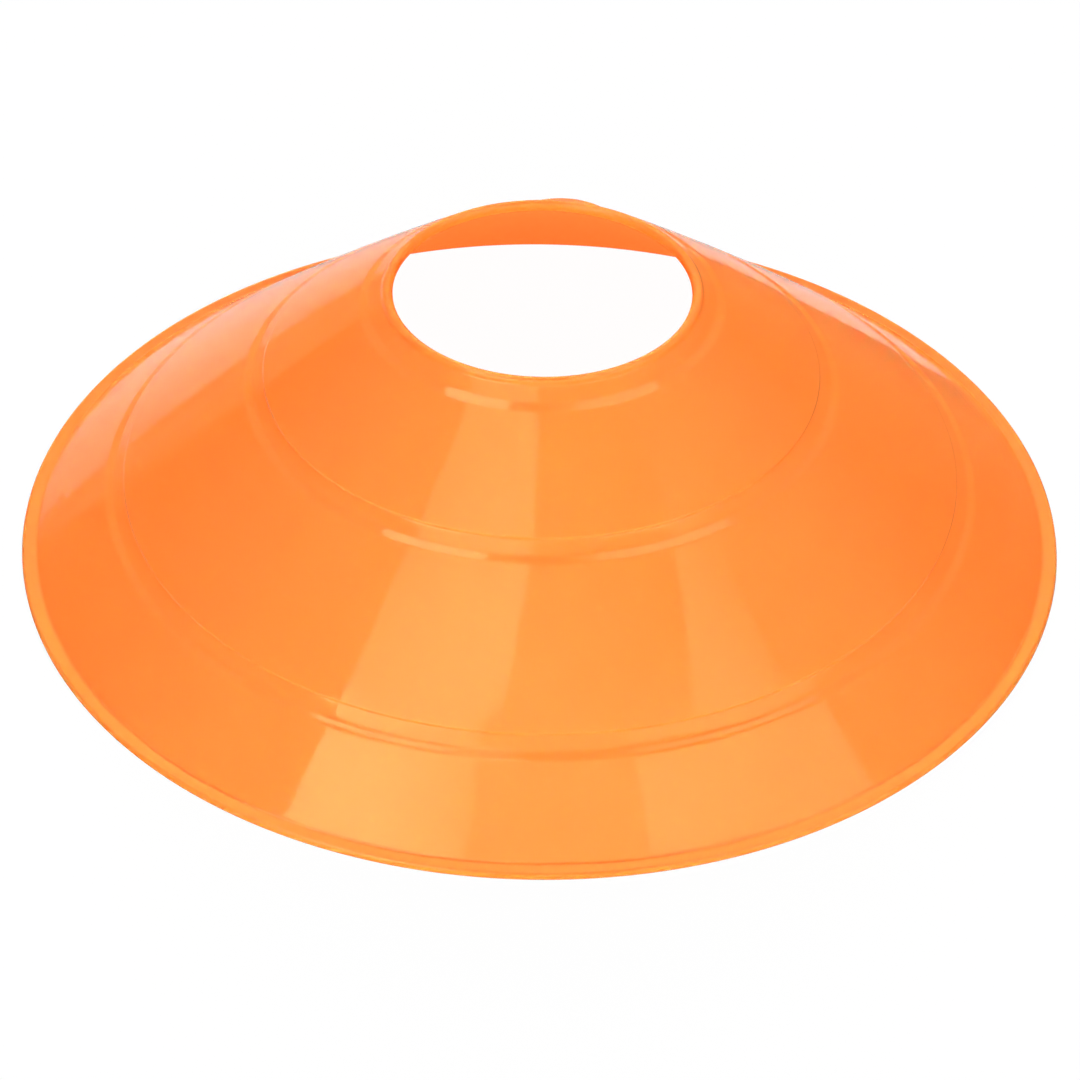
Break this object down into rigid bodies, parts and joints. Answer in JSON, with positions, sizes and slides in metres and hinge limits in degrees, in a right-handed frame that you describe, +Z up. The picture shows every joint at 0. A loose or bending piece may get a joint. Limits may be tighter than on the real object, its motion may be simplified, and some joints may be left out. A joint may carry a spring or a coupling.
{
  "type": "disc marker cone",
  "caption": "Low, open disc cone of thin soft plastic, with a flat base rim, recessed bands round its sloping wall and a beaded round opening, for marking a pitch.",
  "frame": {"origin": "centre of the base circle, on the surface that the disc stands on", "axes": "+Z up along the axis of the cone, from the base rim to the round opening"},
  "size_m": [0.19, 0.19, 0.053],
  "materials": {
    "shell_plastic": "glossy orange soft polyethylene, moulded, lightly scuffed"
  },
  "bodies": {
    "root": {"cone_shell": "shell_plastic"}
  },
  "joints": []
}
